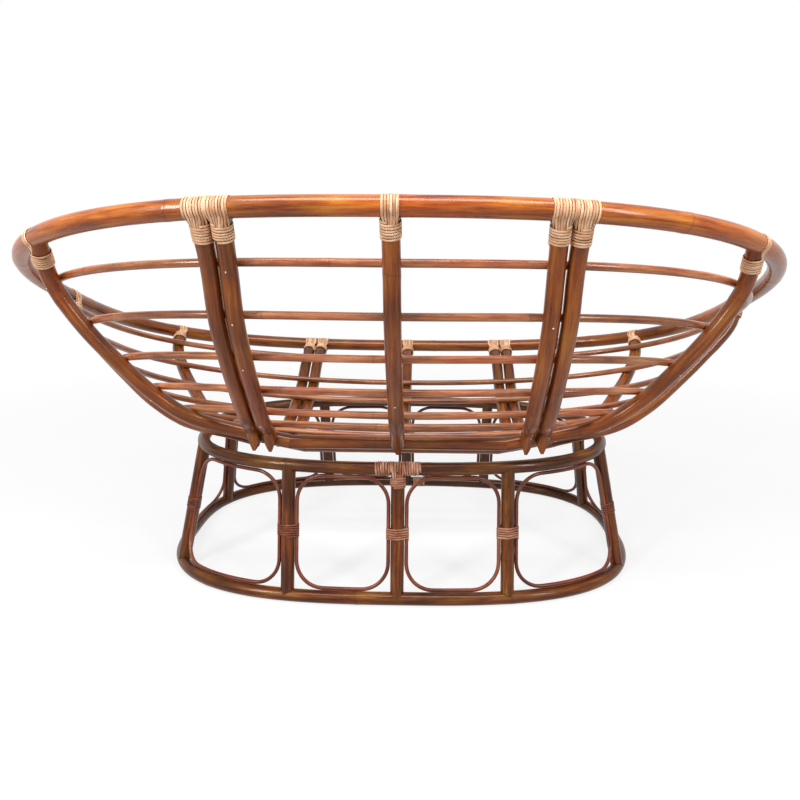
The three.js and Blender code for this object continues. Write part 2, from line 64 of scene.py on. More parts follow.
def addCamera(view):
    level = math.cos(view["pitch"])
    ahead = Vector((math.sin(view["yaw"]) * level, -math.cos(view["yaw"]) * level, -math.sin(view["pitch"])))
    right = Vector((-math.cos(view["yaw"]), -math.sin(view["yaw"]), 0))
    above = right.cross(ahead)
    turned = Matrix.Rotation(view["roll"], 3, ahead)
    right, above = turned @ right, turned @ above
    lens = bpy.data.cameras.new("photoCamera")
    lens.lens = view["lens"]
    lens.sensor_width = view["sensorWidth"]
    lens.shift_x, lens.shift_y = view["shift"]
    lens.clip_start = view["clipStart"]
    camera = bpy.data.objects.new("photoCamera", lens)
    axes = Matrix((right, above, -ahead)).transposed().to_4x4()
    camera.matrix_world = Matrix.Translation(view["place"]) @ axes
    scene.collection.objects.link(camera)
    scene.camera = camera


def feed(tree, socket, value):
    # gives a socket a fixed value or the output of another node
    if isinstance(value, bpy.types.NodeSocket):
        tree.links.new(value, socket)
    else:
        socket.default_value = value


def addNode(tree, kind, inputs=None, **settings):
    node = tree.nodes.new(kind)
    for name, value in settings.items():
        setattr(node, name, value)
    for name, value in (inputs or {}).items():
        feed(tree, node.inputs[name], value)
    return node


def arithmetic(tree, operation, *terms):
    node = addNode(tree, "ShaderNodeMath", operation=operation)
    for socket, term in zip(node.inputs, terms):
        feed(tree, socket, term)
    return node.outputs[0]


mixSockets = {"factor": 0, "first": 6, "second": 7, "result": 2}  # of a Mix node that mixes colours


def mixedColour(tree, blend, factor, first, second):
    node = addNode(tree, "ShaderNodeMix", data_type="RGBA", blend_type=blend)
    for name, value in (("factor", factor), ("first", first), ("second", second)):
        feed(tree, node.inputs[mixSockets[name]], value)
    return node.outputs[mixSockets["result"]]


def mixedShader(tree, factor, first, second):
    return addNode(tree, "ShaderNodeMixShader", {0: factor, 1: first, 2: second}).outputs[0]


def shownWhite(tree):
    # 1 for what the camera and mirror rays see, 0 for what lights the chair
    rays = addNode(tree, "ShaderNodeLightPath").outputs
    direct = arithmetic(tree, "MAXIMUM", rays["Is Camera Ray"], rays["Is Glossy Ray"])
    return arithmetic(tree, "MAXIMUM", direct, rays["Is Transmission Ray"])


studio = {
    "worldLight": 0.3,
    "worldColour": (1.0, 1.0, 1.0, 1),
    "plainWhite": (1, 1, 1, 1),
    "floorColour": (0.9, 0.9, 0.9, 1),
    "floorBounce": (0.42, 0.4, 0.38, 1),  # what the floor sends back up on the chair
    "floorWhiteness": (0.8, 1.0),  # share of plain white on the floor near the chair and far from it
    "floorFade": (1.1, 2.6),  # distances between which it changes
    "floorHalfSize": 14.0,
    "lamps": {  # place, aim, width, height and power in watts
        "boxLeft": ((2.0, 2.3, 2.0), (0.3, 0.2, 0.5), 0.4, 1.4, 64),
        "boxRight": ((-2.0, 2.3, 2.0), (-0.3, 0.2, 0.5), 0.4, 1.4, 36),
        "boxAbove": ((0, 1.2, 2.7), (0, 0.1, 0.4), 2.2, 0.7, 62),
    },
}


def addWorld(look):
    world = bpy.data.worlds.new("studioWorld")
    scene.world = world
    world.use_nodes = True
    tree = world.node_tree
    tree.nodes.clear()
    light = {"Color": look["worldColour"], "Strength": look["worldLight"]}
    lit = addNode(tree, "ShaderNodeBackground", light)
    seen = addNode(tree, "ShaderNodeBackground", {"Color": look["plainWhite"], "Strength": 1.0})
    mixed = mixedShader(tree, shownWhite(tree), lit.outputs[0], seen.outputs[0])
    addNode(tree, "ShaderNodeOutputWorld", {"Surface": mixed})


def addLamps(look):
    for name, (place, aim, width, height, power) in look["lamps"].items():
        lamp = bpy.data.lights.new(name, "AREA")
        lamp.shape = "RECTANGLE"
        lamp.energy = power
        lamp.size, lamp.size_y = width, height
        holder = bpy.data.objects.new(name, lamp)
        turned = (Vector(aim) - Vector(place)).to_track_quat("-Z", "Y").to_matrix().to_4x4()
        holder.matrix_world = Matrix.Translation(place) @ turned
        scene.collection.objects.link(holder)


def floorPaint(look):
    paint = bpy.data.materials.new("floorPaint")
    paint.use_nodes = True
    tree = paint.node_tree
    tree.nodes.clear()
    seen = shownWhite(tree)
    colour = mixedColour(tree, "MIX", seen, look["floorBounce"], look["floorColour"])
    matt = addNode(tree, "ShaderNodeBsdfDiffuse", {"Color": colour})
    white = addNode(tree, "ShaderNodeEmission", {"Color": look["plainWhite"], "Strength": 1.0})
    place = addNode(tree, "ShaderNodeTexCoord").outputs["Object"]
    away = addNode(tree, "ShaderNodeVectorMath", {"Vector": place}, operation="LENGTH").outputs["Value"]
    (near, far), (shareNear, shareFar) = look["floorFade"], look["floorWhiteness"]
    fade = addNode(tree, "ShaderNodeMapRange", {
        "Value": away, "From Min": near, "From Max": far, "To Min": shareNear, "To Max": shareFar})
    share = arithmetic(tree, "MULTIPLY", seen, fade.outputs[0])
    addNode(tree, "ShaderNodeOutputMaterial", {
        "Surface": mixedShader(tree, share, matt.outputs[0], white.outputs[0])})
    return paint


def addFloor(look):
    grid = bmesh.new()
    bmesh.ops.create_grid(grid, x_segments=1, y_segments=1, size=look["floorHalfSize"])
    mesh = bpy.data.meshes.new("studioFloor")
    grid.to_mesh(mesh)
    grid.free()
    mesh.materials.append(floorPaint(look))
    floor = bpy.data.objects.new("studioFloor", mesh)
    scene.collection.objects.link(floor)


addCamera(photoView)
addWorld(studio)
addLamps(studio)
addFloor(studio)
scene.view_settings.view_transform = "Standard"
print("camera, lamps and floor placed")


def rampOf(tree, factor, stops):
    ramp = addNode(tree, "ShaderNodeValToRGB", {"Fac": factor})
    elements = ramp.color_ramp.elements
    while len(elements) < len(stops):
        elements.new(0.5)
    for element, (position, colour) in zip(elements, stops):
        element.position = position
        element.color = (*colour, 1) if isinstance(colour, tuple) else (colour, colour, colour, 1)
    return ramp.outputs[0]


def newMaterial(name):
    material = bpy.data.materials.new(name)
    material.use_nodes = True
    tree = material.node_tree
    tree.nodes.clear()
    shader = addNode(tree, "ShaderNodeBsdfPrincipled")
    addNode(tree, "ShaderNodeOutputMaterial", {"Surface": shader.outputs[0]})
    return material, tree, shader


def attribute(tree, name, output):
    return addNode(tree, "ShaderNodeAttribute", attribute_name=name).outputs[output]


def noiseAlong(tree, coords, pattern):
    # a noise drawn out along the pole
    scale, stretch, detail, roughness = pattern
    drawn = addNode(tree, "ShaderNodeMapping", {"Vector": coords, "Scale": (1, 1, stretch)})
    return addNode(tree, "ShaderNodeTexNoise", {
        "Vector": drawn.outputs[0], "Scale": scale, "Detail": detail, "Roughness": roughness}).outputs[0]


def bumped(tree, height, strength, depth):
    return addNode(tree, "ShaderNodeBump", {
        "Height": height, "Strength": strength, "Distance": depth}).outputs[0]


poleFinishes = {  # tones from the dark streaks to the pale ones
    "rim": {
        "tones": [(0.38, (0.1, 0.014, 0.002)), (0.46, (0.26, 0.049, 0.004)), (0.54, (0.4, 0.103, 0.007)),
                  (0.65, (0.53, 0.21, 0.022))],
        "fleck": 0.4,
        "roughness": (0.22, 0.4),
        "specular": 0.36,
        "coat": 0.36,
    },
    "rib": {
        "tones": [(0.38, (0.085, 0.014, 0.002)), (0.46, (0.165, 0.032, 0.003)), (0.54, (0.24, 0.058, 0.005)),
                  (0.65, (0.36, 0.13, 0.016))],
        "fleck": 0.5,
        "roughness": (0.26, 0.42),
        "specular": 0.3,
        "coat": 0.34,
    },
    "hoop": {
        "tones": [(0.38, (0.11, 0.024, 0.01)), (0.46, (0.27, 0.071, 0.026)), (0.54, (0.43, 0.143, 0.054)),
                  (0.65, (0.62, 0.3, 0.135))],
        "fleck": 0.4,
        "roughness": (0.24, 0.42),
        "specular": 0.42,
        "coat": 0.45,
    },
    "stand": {
        "tones": [(0.38, (0.02, 0.004, 0.001)), (0.46, (0.068, 0.014, 0.002)), (0.54, (0.135, 0.036, 0.004)),
                  (0.65, (0.25, 0.105, 0.015))],
        "fleck": 0.75,
        "roughness": (0.26, 0.46),
        "specular": 0.22,
        "coat": 0.26,
    },
    "cane": {
        "tones": [(0.38, (0.05, 0.007, 0.003)), (0.46, (0.12, 0.02, 0.008)), (0.54, (0.2, 0.045, 0.017)),
                  (0.65, (0.3, 0.1, 0.042))],
        "fleck": 0.4,
        "roughness": (0.26, 0.46),
        "specular": 0.3,
        "coat": 0.34,
    },
}
grain = {  # each pattern: scale per metre, stretch along the pole, detail and roughness
    "fibres": (620.0, 0.05, 2.0, 0.55),
    "bands": (120.0, 0.07, 4.0, 0.6),
    "patches": (7.0, 1.0, 3.0, 0.55),
    "flecks": (240.0, 0.3, 4.0, 0.7),
    "bandShare": 0.5,  # how much each pattern counts in the tone
    "patchShare": 0.34,
    "fibreShare": 0.18,
    "fibreBump": 0.5,
    "fibreDepth": 0.0002,
    "stainScale": 3.4,
    "stainDetail": 2.0,
    "stains": [(0.4, (0.72, 0.72, 0.62)), (0.5, (1.0, 1.0, 1.0)), (0.62, (1.0, 0.84, 0.76))],
    # painted shade: where the poles start to darken towards the front, and the colour they darken by
    "frontShadeFade": (-0.12, -0.42),
    "frontPaintedShade": (0.5, 0.52, 0.5, 1),
    "fleckEdges": (0.62, 0.72),
    "fleckStain": (0.25, 0.12, 0.08, 1),
    "scarDarkness": 0.45,
    "scarStain": (0.3, 0.18, 0.14, 1),
    "gleamEdges": (0.3, 0.7),
    "glossTint": (1.0, 0.72, 0.54, 1),
    "coatRoughness": 0.14,
}


def stainsAndPaintedShade(tree, colour, flecks, fleckStrength):
    # slow stains, painted shade that darkens the front, small flecks and the scars where leaves grew
    place = addNode(tree, "ShaderNodeTexCoord").outputs["Object"]
    slow = addNode(tree, "ShaderNodeTexNoise", {
        "Vector": place, "Scale": grain["stainScale"], "Detail": grain["stainDetail"]}).outputs[0]
    colour = mixedColour(tree, "MULTIPLY", 1.0, colour, rampOf(tree, slow, grain["stains"]))
    # painted shade: the colour darkens towards the front (-Y), away from the lamps
    depth = addNode(tree, "ShaderNodeSeparateXYZ", {"Vector": place}).outputs["Y"]
    start, full = grain["frontShadeFade"]
    shadeAtFront = addNode(tree, "ShaderNodeMapRange", {"Value": depth, "From Min": start, "From Max": full})
    colour = mixedColour(tree, "MULTIPLY", shadeAtFront.outputs[0], colour, grain["frontPaintedShade"])
    bare, full = grain["fleckEdges"]
    spots = arithmetic(tree, "MULTIPLY", rampOf(tree, flecks, [(bare, 0.0), (full, 1.0)]), fleckStrength)
    colour = mixedColour(tree, "MULTIPLY", spots, colour, grain["fleckStain"])
    scars = arithmetic(tree, "MULTIPLY", attribute(tree, "ringShade", "Fac"), grain["scarDarkness"])
    return mixedColour(tree, "MULTIPLY", scars, colour, grain["scarStain"])


def lacqueredPole(name, finish):
    material, tree, shader = newMaterial(name)
    coords = attribute(tree, "poleCoords", "Vector")
    fibres, bands, patches, flecks = (
        noiseAlong(tree, coords, grain[pattern]) for pattern in ("fibres", "bands", "patches", "flecks"))
    tone = arithmetic(tree, "MULTIPLY", patches, grain["patchShare"])
    tone = arithmetic(tree, "MULTIPLY_ADD", bands, grain["bandShare"], tone)
    tone = arithmetic(tree, "ADD", tone, arithmetic(tree, "MULTIPLY", fibres, grain["fibreShare"]))
    colour = rampOf(tree, tone, finish["tones"])
    places = zip(grain["gleamEdges"], finish["roughness"])
    values = {
        "Base Color": stainsAndPaintedShade(tree, colour, flecks, finish["fleck"]),
        "Roughness": rampOf(tree, bands, list(places)),
        "Normal": bumped(tree, fibres, grain["fibreBump"], grain["fibreDepth"]),
        "Specular IOR Level": finish["specular"],
        "Specular Tint": grain["glossTint"],
        "Coat Weight": finish["coat"],
        "Coat Roughness": grain["coatRoughness"],
    }
    for socket, value in values.items():
        feed(tree, shader.inputs[socket], value)
    return material


peelFinishes = {  # name of the material, tones and roughness
    "peel": (
        "strawPeel",
        [(0.36, (0.36, 0.15, 0.07)), (0.45, (0.66, 0.36, 0.18)), (0.53, (0.86, 0.55, 0.34)),
         (0.62, (0.95, 0.74, 0.57))],
        0.5,
    ),
    "standPeel": (
        "stainedPeel",
        [(0.36, (0.08, 0.013, 0.005)), (0.46, (0.15, 0.028, 0.009)), (0.54, (0.22, 0.05, 0.018)),
         (0.64, (0.4, 0.16, 0.07))],
        0.42,
    ),
    "ringPeel": (
        "tannedPeel",
        [(0.36, (0.16, 0.05, 0.022)), (0.45, (0.34, 0.13, 0.065)), (0.53, (0.55, 0.27, 0.16)),
         (0.62, (0.76, 0.5, 0.36))],
        0.45,
    ),
}
peelGrain = {
    "fibres": (1500.0, 0.02, 3.0, 0.65),
    "patches": (26.0, 1.0, 2.0, 0.55),
    "share": 0.5,
    "stain": (0.42, 0.22, 0.11, 1),
    "fibreBump": 0.6,
    "fibreDepth": 0.0003,
    "specular": 0.3,
    "coat": 0.12,
    "coatRoughness": 0.3,
}


def peelMaterial(name, tones, roughness):
    material, tree, shader = newMaterial(name)
    coords = attribute(tree, "poleCoords", "Vector")
    fibres, patches = (noiseAlong(tree, coords, peelGrain[pattern]) for pattern in ("fibres", "patches"))
    halves = [arithmetic(tree, "MULTIPLY", pattern, peelGrain["share"]) for pattern in (fibres, patches)]
    colour = rampOf(tree, arithmetic(tree, "ADD", *halves), tones)
    stains = attribute(tree, "ringShade", "Fac")
    values = {
        "Base Color": mixedColour(tree, "MULTIPLY", stains, colour, peelGrain["stain"]),
        "Roughness": roughness,
        "Normal": bumped(tree, fibres, peelGrain["fibreBump"], peelGrain["fibreDepth"]),
        "Specular IOR Level": peelGrain["specular"],
        "Coat Weight": peelGrain["coat"],
        "Coat Roughness": peelGrain["coatRoughness"],
    }
    for socket, value in values.items():
        feed(tree, shader.inputs[socket], value)
    return material


cutEnd = {
    "poreScale": 900.0,
    "tones": [(0.12, (0.02, 0.007, 0.003)), (0.4, (0.13, 0.05, 0.02))],
    "roughness": 0.7,
}


def cutEndMaterial(look):
    # the pores of a cut pole
    material, tree, shader = newMaterial("cutEnd")
    coords = attribute(tree, "poleCoords", "Vector")
    pores = addNode(tree, "ShaderNodeTexVoronoi", {"Vector": coords, "Scale": look["poreScale"]})
    feed(tree, shader.inputs["Base Color"], rampOf(tree, pores.outputs["Distance"], look["tones"]))
    feed(tree, shader.inputs["Roughness"], look["roughness"])
    return material


nailSteel = {
    "scuffScale": 700.0,
    "scuffDetail": 3.0,
    "tones": [(0.35, (0.42, 0.38, 0.34)), (0.6, (0.8, 0.78, 0.74))],
    "metallic": 0.9,
    "roughness": 0.32,
}


def nailMaterial(look):
    material, tree, shader = newMaterial("nailSteel")
    place = addNode(tree, "ShaderNodeTexCoord").outputs["Object"]
    scuffs = addNode(tree, "ShaderNodeTexNoise", {
        "Vector": place, "Scale": look["scuffScale"], "Detail": look["scuffDetail"]})
    feed(tree, shader.inputs["Base Color"], rampOf(tree, scuffs.outputs[0], look["tones"]))
    feed(tree, shader.inputs["Metallic"], look["metallic"])
    feed(tree, shader.inputs["Roughness"], look["roughness"])
    return material


finishes = {name: lacqueredPole(name + "Lacquer", finish) for name, finish in poleFinishes.items()}
finishes.update({name: peelMaterial(*finish) for name, finish in peelFinishes.items()})
finishes["cutEnd"] = cutEndMaterial(cutEnd)
finishes["nail"] = nailMaterial(nailSteel)
print("finishes mixed:", len(finishes))


class Oval:
    # an oval of any squareness, level or with its two ends lifted
    def __init__(self, halfLength, halfWidth, power, height=0.0, endLift=0.0):
        self.halfLength, self.halfWidth, self.power = halfLength, halfWidth, power
        self.height, self.endLift = height, endLift

    def at(self, x, y):
        return Vector((x, y, self.height + self.endLift * (x / self.halfLength) ** 2))

    def turn(self, share):
        angle = 2 * math.pi * share
        circle = (math.cos(angle), math.sin(angle))
        x, y = (math.copysign(abs(part) ** (2 / self.power), part) for part in circle)
        return self.at(x * self.halfLength, y * self.halfWidth)

    def atX(self, x, side):
        rest = 1 - (abs(x) / self.halfLength) ** self.power
        return self.at(x, side * self.halfWidth * max(rest, 0) ** (1 / self.power))

    def course(self, start, steps=1440):
        return Course([self.turn(start + step / steps) for step in range(steps)], closed=True)


class Course:
    # a middle line through close points, read by the length along it
    def __init__(self, points, closed=False):
        self.points = points + points[:1] if closed else points
        self.closed = closed
        self.lengths = [0.0]
        for start, end in zip(self.points, self.points[1:]):
            self.lengths.append(self.lengths[-1] + (end - start).length)
        self.length = self.lengths[-1]

    def at(self, length):
        if self.closed:
            length %= self.length
        index = min(max(bisect_right(self.lengths, length) - 1, 0), len(self.points) - 2)
        before, after = self.lengths[index], self.lengths[index + 1]
        return self.points[index].lerp(self.points[index + 1], (length - before) / (after - before))

    def along(self, length, reach=0.006):
        behind, ahead = length - reach, length + reach
        if not self.closed:
            behind, ahead = max(behind, 0), min(ahead, self.length)
        return (self.at(ahead) - self.at(behind)).normalized()

    def nearest(self, target):
        # the length along it of the place nearest to a point
        best = (math.inf, 0.0)
        for index, (start, end) in enumerate(zip(self.points, self.points[1:])):
            step = end - start
            part = min(max((target - start).dot(step) / step.length_squared, 0), 1)
            distance = (start + step * part - target).length
            best = min(best, (distance, self.lengths[index] + step.length * part))
        return best[1]


def splinePoints(points, steps, least=1e-9):
    # a centripetal Catmull-Rom curve through points
    ends = [2 * points[0] - points[1], *points, 2 * points[-1] - points[-2]]
    found = []
    for before, start, end, after in zip(ends, ends[1:], ends[2:], ends[3:]):
        spans = ((before, start), (start, end), (end, after))
        first, middle, last = (max((far - near).length, least) ** 0.5 for near, far in spans)
        slope = (end - start) / middle
        leave = ((start - before) / first - (end - before) / (first + middle) + slope) * middle
        arrive = (slope - (after - start) / (middle + last) + (after - end) / last) * middle
        for step in range(steps):
            share = step / steps
            found.append(
                start + leave * share + (3 * (end - start) - 2 * leave - arrive) * share**2
                + (2 * (start - end) + leave + arrive) * share**3)
    return found + [points[-1]]


bowl = {
    "halfLength": 0.807,
    "halfWidth": 0.560,
    "ovalPower": 2.68,
    "tilt": math.radians(21.9),
    "railDrop": 0.352,
    "railHalfLength": 0.240,
    "railHalfSpacing": 0.100,
    "hoopLengths": [0.953, 0.872, 0.789, 0.714, 0.625, 0.477],  # shares of the rim's
    "hoopWidths": [0.834, 0.736, 0.607, 0.468, 0.361, 0.259],
    "hoopDrops": [0.179, 0.409, 0.591, 0.744, 0.855, 0.912],  # shares of the rails'
    "hoopEndLifts": [0.062, 0.085, 0.08, 0.08, 0.068, 0.04],
    "rimJoint": 0.75,  # share of a turn at which its ends meet
    "hoopJointStep": 0.03,
    "pairHalfSpacing": 0.295,
    "pairSpreadAtRim": 0.038,
    "pairSpreadBelow": 0.0339,
    "backCorners": [0.812, 0.85, 0.87, 0.88, 0.885, 0.885, 0.88],  # shares of each oval's half length
    "frontCorners": [0.842, 0.85, 0.87, 0.88, 0.885, 0.885, 0.88],
    "tipHalfSpacing": 0.106,
    "tipDrop": 0.366,
    "endTipOverrun": 0.055,
    "endTipSink": 0.014,
    "endTipOff": 0.024,
    "cornerEndOverlap": 0.002,
    "standOff": 0.0231,  # from a hoop's middle line to a rib's
    "ribSteps": 12,
}
radii = {
    "rim": 0.0179,
    "rib": 0.0161,
    "hoop": 0.0078,
    "rail": 0.0153,
    "ring": 0.0148,
    "post": 0.0154,
    "cane": 0.0044,
}

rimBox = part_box("rim")
rimMiddle = Matrix.Translation((0, 0, (rimBox[0].z + rimBox[1].z) / 2))
bodyPlaces = {"bowl": rimMiddle @ Matrix.Rotation(bowl["tilt"], 4, "X")}

rimOval = Oval(bowl["halfLength"], bowl["halfWidth"], bowl["ovalPower"])
hoopOvals = [
    Oval(length * bowl["halfLength"], width * bowl["halfWidth"], bowl["ovalPower"],
         -drop * bowl["railDrop"], lift * bowl["railDrop"])
    for length, width, drop, lift in zip(
        bowl["hoopLengths"], bowl["hoopWidths"], bowl["hoopDrops"], bowl["hoopEndLifts"])
]
bowlOvals = [rimOval, *hoopOvals]
rimCourse = rimOval.course(bowl["rimJoint"])


def ribCourse(places, side, lowerEnd):
    # from the middle of the rim, past the outside of each hoop, to the lower end
    crossings = [oval.atX(x, side) for oval, x in zip(bowlOvals, places)]
    points = crossings[:1]
    for level in range(1, len(bowlOvals)):
        below = crossings[level + 1] if level + 1 < len(crossings) else lowerEnd
        down = below - crossings[level - 1]
        aside = math.copysign(2 * radii["hoop"], places[level])
        beside = bowlOvals[level].atX(places[level] - aside, side) - crossings[level]
        outward = (beside if side else Vector((0, 1, 0))).cross(down).normalized()
        if outward.z > 0:
            outward.negate()
        points.append(crossings[level] + outward * bowl["standOff"])
    return Course(splinePoints([*points, lowerEnd], bowl["ribSteps"])), points[1:]


def cornerRib(sign, side, shares):
    places = [sign * share * oval.halfLength for share, oval in zip(shares, bowlOvals)]
    endX = sign * (bowl["railHalfLength"] - bowl["cornerEndOverlap"])
    return ribCourse(places, side, Vector((endX, side * bowl["railHalfSpacing"], -bowl["railDrop"])))


def pairRib(sign, side, step):
    spreads = [bowl["pairSpreadAtRim"], *[bowl["pairSpreadBelow"]] * len(hoopOvals)]
    places = [sign * (bowl["pairHalfSpacing"] + step * spread / 2) for spread in spreads]
    return ribCourse(places, side, Vector((places[-1], side * bowl["tipHalfSpacing"], -bowl["tipDrop"])))


def endRib(sign):
    lowest = hoopOvals[-1]
    drop = bowl["endTipOff"] + bowl["endTipSink"]
    tipX = sign * (lowest.halfLength - bowl["endTipOverrun"])
    tip = Vector((tipX, 0, lowest.height + lowest.endLift - drop))
    return ribCourse([sign * oval.halfLength for oval in bowlOvals], 0, tip)


def centreRib(side):
    tip = Vector((0, side * bowl["tipHalfSpacing"], -bowl["tipDrop"]))
    return ribCourse([0] * len(bowlOvals), side, tip)


faces = (("back", 1), ("front", -1))
ribs = {}
for hand, sign in (("left", 1), ("right", -1)):
    for face, side in faces:
        ribs[f"{face}_{hand}_corner"] = cornerRib(sign, side, bowl[face + "Corners"])
        ribs[f"{face}_{hand}_inner"] = pairRib(sign, side, -1)
        ribs[f"{face}_{hand}_outer"] = pairRib(sign, side, 1)
    ribs[f"end_{hand}"] = endRib(sign)
for face, side in faces:
    ribs[f"{face}_centre"] = centreRib(side)
print("middle lines drawn:", len(ribs), "ribs")

poleShape = {
    "ringSpacing": (0.3, 0.52),  # between the scars where leaves grew
    "ringEndClear": 0.03,
    "ringOffsets": (-0.016, -0.009, -0.004, -0.0015, 0, 0.0015, 0.004, 0.009, 0.016),
    "ringClear": 0.017,
    "closest": 0.0008,
    "ringSwell": 0.0004,
    "ringSwellReach": 0.008,
    "ringGroove": 0.0002,
    "ringGrooveReach": 0.001,
    "ringRadius": 0.014,  # radius of a pole with such rings
    "ringSlant": 0.16,  # rise of a scar across the pole
    "ringSlantReach": 0.012,
    "ringShadeReach": 0.0016,
    "waver": 0.008,  # share by which a pole's radius changes along it
    "waves": ((2, 5), (6, 11)),
    "phases": (0, 6),
    "slimness": 0.01,
    "grainShift": (0, 50),
    "mergeDistance": 0.00002,
}
poleKinds = {  # sides, metres between sections, finish and material slot
    "rim": (26, 0.012, "rim", "rim_pole"),
    "rib": (20, 0.012, "rib", "rib_pole"),
    "rail": (20, 0.012, "rib", "rib_pole"),
    "hoop": (14, 0.018, "hoop", "hoop_pole"),
    "ring": (22, 0.012, "stand", "stand_pole"),
    "post": (20, 0.012, "stand", "stand_pole"),
    "cane": (12, 0.009, "cane", "cane"),
}


def stationMatrix(point, along, outward, wide, thick):
    # across, outward and along as the axes of a section
    across = outward.cross(along).normalized()
    away = along.cross(across)
    axes = Matrix((across * wide, away * thick, along)).transposed().to_4x4()
    return Matrix.Translation(point) @ axes


def sweep(bm, stations, sides, size, closed=False, flattened=1.0, capMaterial=0):
    # carries a round section along the stations by extruding its edge
    section = bm.verts.layers.float_vector["section"]
    shadeLayer = bm.verts.layers.float["ringShade"]
    ring = bmesh.ops.create_circle(bm, cap_ends=not closed, radius=1, segments=sides)["verts"]
    if flattened < 1:
        under = [vert for vert in ring if vert.co.y < 0]
        bmesh.ops.scale(bm, vec=(1, flattened, 1), verts=under)
    for vert in ring:
        vert[section] = (vert.co.x * size[0], vert.co.y * size[1], 0)
    edges = list({edge for vert in ring for edge in vert.link_edges})
    caps = list(ring[0].link_faces)
    now = Matrix.Identity(4)
    for index, (matrix, walked, shade) in enumerate(stations):
        if index:
            grown = bmesh.ops.extrude_edge_only(bm, edges=edges)["geom"]
            ring = [part for part in grown if isinstance(part, bmesh.types.BMVert)]
            edges = [part for part in grown if isinstance(part, bmesh.types.BMEdge)]
        bmesh.ops.transform(bm, matrix=matrix @ now.inverted(), verts=ring)
        now = matrix
        for vert in ring:
            place = vert[section]
            vert[section] = (place[0], place[1], walked)
            vert[shadeLayer] = shade
    if not closed:
        caps += bmesh.ops.contextual_create(bm, geom=edges)["faces"]
    for cap in caps:
        cap.material_index = capMaterial


def newPiece():
    bm = bmesh.new()
    bm.verts.layers.float_vector.new("section")
    bm.verts.layers.float.new("ringShade")
    return bm


def finishPiece(name, bm, body, materials, nodes=()):
    section = bm.verts.layers.float_vector["section"]
    coords = bm.loops.layers.float_vector.new("poleCoords")
    for face in bm.faces:
        face.smooth = face.material_index == 0
        for loop in face.loops:
            loop[coords] = loop.vert[section]
    for edge in bm.edges:
        edge.smooth = len({face.material_index for face in edge.link_faces}) == 1
    bmesh.ops.remove_doubles(bm, verts=bm.verts, dist=poleShape["mergeDistance"])
    bmesh.ops.transform(bm, matrix=bodyPlaces[body], verts=bm.verts)
    bmesh.ops.recalc_face_normals(bm, faces=bm.faces)
    bm.verts.layers.float_vector.remove(section)
    mesh = bpy.data.meshes.new(name)
    bm.to_mesh(mesh)
    bm.free()
    piece = bpy.data.objects.new(name, mesh)
    scene.collection.objects.link(piece)
    for material in materials:
        mesh.materials.append(finishes[material])
    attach(piece, body)
    if nodes:
        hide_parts(*nodes)


def ringPlaces(chance, start, end):
    # lengths along a pole at which a leaf left a scar
    clear, (nearest, farthest) = poleShape["ringEndClear"], poleShape["ringSpacing"]
    rings = []
    walked = start + chance.uniform(clear, farthest)
    while walked < end - clear:
        rings.append(walked)
        walked += chance.uniform(nearest, farthest)
    return rings


def sectionPlaces(rings, start, end, spacing):
    # lengths at which a pole has a section: even ones, and closer ones at each scar
    clear, closest = poleShape["ringClear"], poleShape["closest"]
    span, ends = end - start, (start, end)
    steps = max(2, round(span / spacing))
    marks = {round(start + span * step / steps, 5) for step in range(steps + 1)}
    marks = {mark for mark in marks if mark in ends or all(abs(mark - ring) > clear for ring in rings)}
    marks |= {start, end, *(ring + offset for ring in rings for offset in poleShape["ringOffsets"])}
    marks = sorted(mark for mark in marks if start <= mark <= end)
    return [mark for index, mark in enumerate(marks) if index == 0 or mark - marks[index - 1] > closest]


def fading(distance, reach):
    return math.exp(-((distance / reach) ** 2))


def poleStations(course, radius, outwardAt, seed, start, spacing):
    chance = random.Random(seed)
    span = course.length - start
    rings = ringPlaces(chance, start, course.length)
    phases = poleShape["phases"]
    waves = [(chance.randint(*counts), chance.uniform(*phases)) for counts in poleShape["waves"]]
    turn = chance.uniform(0, 2 * math.pi)
    shift = chance.uniform(*poleShape["grainShift"])
    thickness = radius / poleShape["ringRadius"]
    stations = []
    for mark in sectionPlaces(rings, start, course.length, spacing):
        gap = min((mark - ring for ring in rings), key=abs, default=1)
        waver = sum(math.sin(2 * math.pi * count * (mark - start) / span + phase) for count, phase in waves)
        swollen = poleShape["ringSwell"] * fading(gap, poleShape["ringSwellReach"]) * thickness
        groove = poleShape["ringGroove"] * fading(gap, poleShape["ringGrooveReach"]) * thickness
        evenSize = radius * (1 + poleShape["waver"] * waver / 2 - poleShape["slimness"])
        size = evenSize + swollen - groove
        slant = size * poleShape["ringSlant"] * fading(gap, poleShape["ringSlantReach"])
        slanted = Matrix.Identity(4)
        slanted[2][0], slanted[2][1] = slant * math.cos(turn), slant * math.sin(turn)
        point = course.at(mark)
        matrix = stationMatrix(point, course.along(mark), outwardAt(point), size, size) @ slanted
        stations.append((matrix, shift + mark, fading(gap, poleShape["ringShadeReach"])))
    return stations


def fromBowlMiddle(point):
    return point


def fromStandMiddle(point):
    return Vector((point.x, point.y, 0))


outwardFrom = {"bowl": fromBowlMiddle, "stand": fromStandMiddle}


def addPole(node, course, kind, body, closed=False, start=0.0, shape=None):
    name = node + ".pole"
    radius = radii[kind]
    sides, spacing, finish, slotName = poleKinds[kind]
    bm = newPiece()
    stations = poleStations(course, radius, outwardFrom[body], name, start, spacing)
    if closed:
        stations[-1] = (stations[0][0], stations[-1][1], stations[0][2])
    sweep(bm, stations, sides, (radius, radius), closed=closed, capMaterial=1)
    if shape:
        shape(bm)
    finishPiece(name, bm, body, [finish, "cutEnd"], [node])


